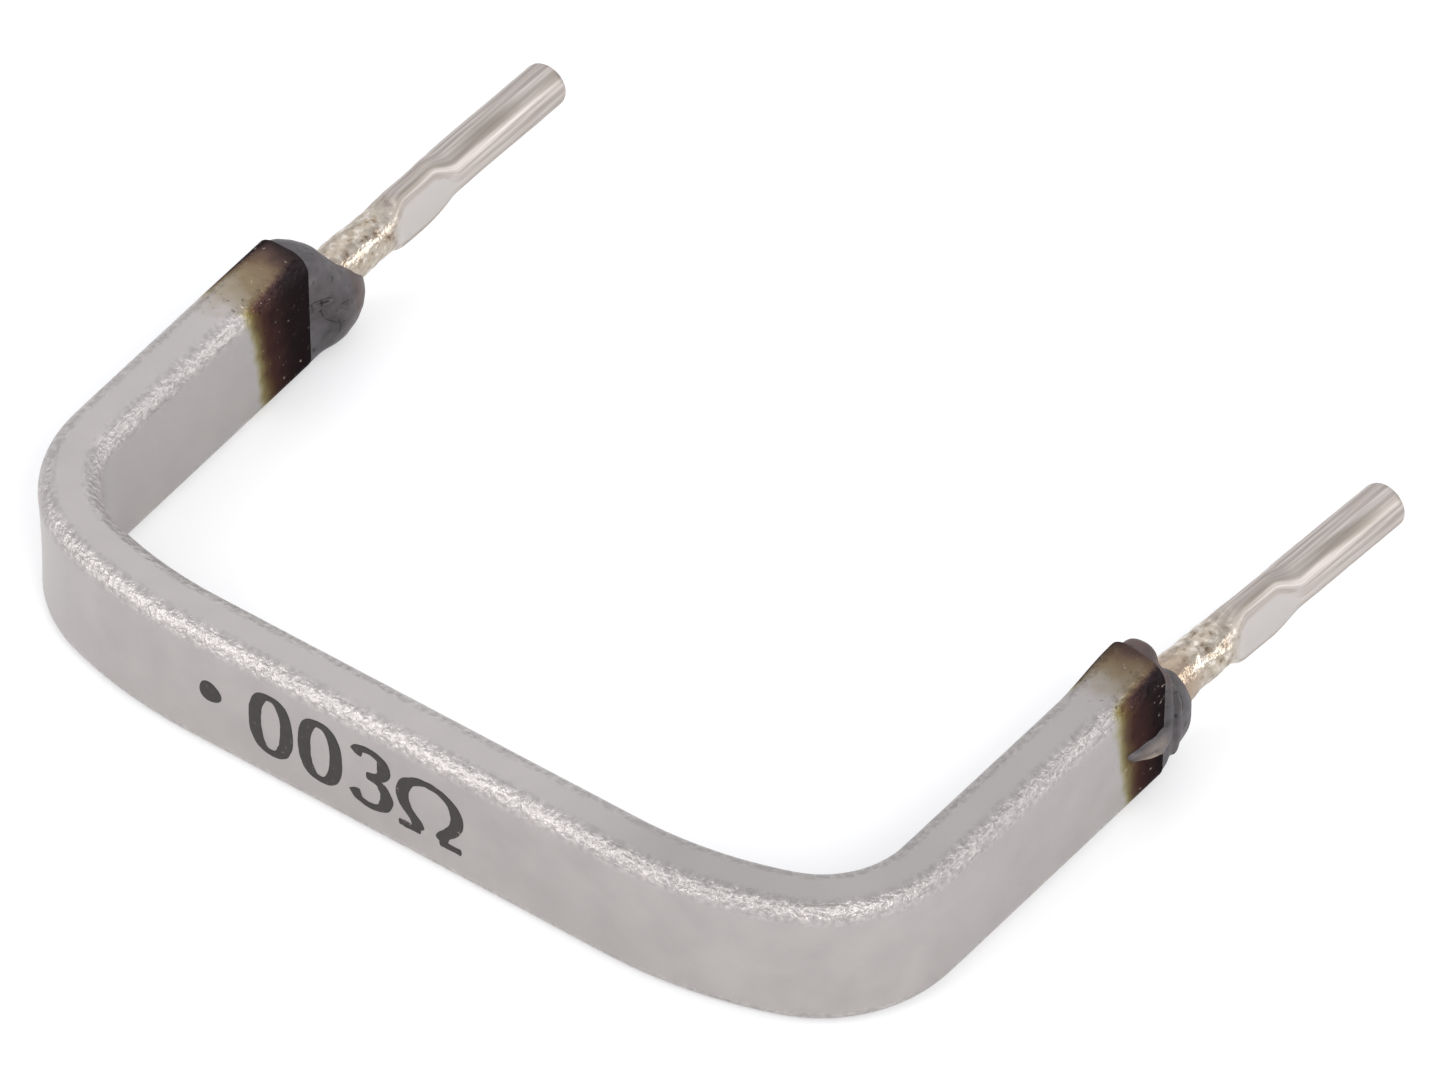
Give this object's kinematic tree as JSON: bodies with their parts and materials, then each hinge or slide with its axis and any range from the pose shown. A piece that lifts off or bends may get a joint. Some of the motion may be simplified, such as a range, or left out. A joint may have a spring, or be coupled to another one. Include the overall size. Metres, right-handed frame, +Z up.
{
  "type": "current sense resistor",
  "caption": "Open-air current sense resistor: a flat bar of resistance alloy bent to a U, with a round, crimped lead welded to each arm.",
  "frame": {"origin": "midway between the two cut ends, on the centre line of the web, at the level of the lower long edge that the part rests on", "axes": "+X along the web from the left lead to the right one, +Y from the web towards the lead tips, +Z up from the lower long edge"},
  "size_m": [0.0223, 0.018, 0.0032],
  "materials": {
    "resistance_alloy": "satin bare alloy",
    "tinned_wire": "drawn, tinned",
    "weld_metal": "oxidised, as frozen"
  },
  "bodies": {
    "root": {"resistance_bar": "resistance_alloy", "lead_left": "tinned_wire", "lead_right": "tinned_wire", "weld_left": "weld_metal", "weld_right": "weld_metal"}
  },
  "joints": []
}
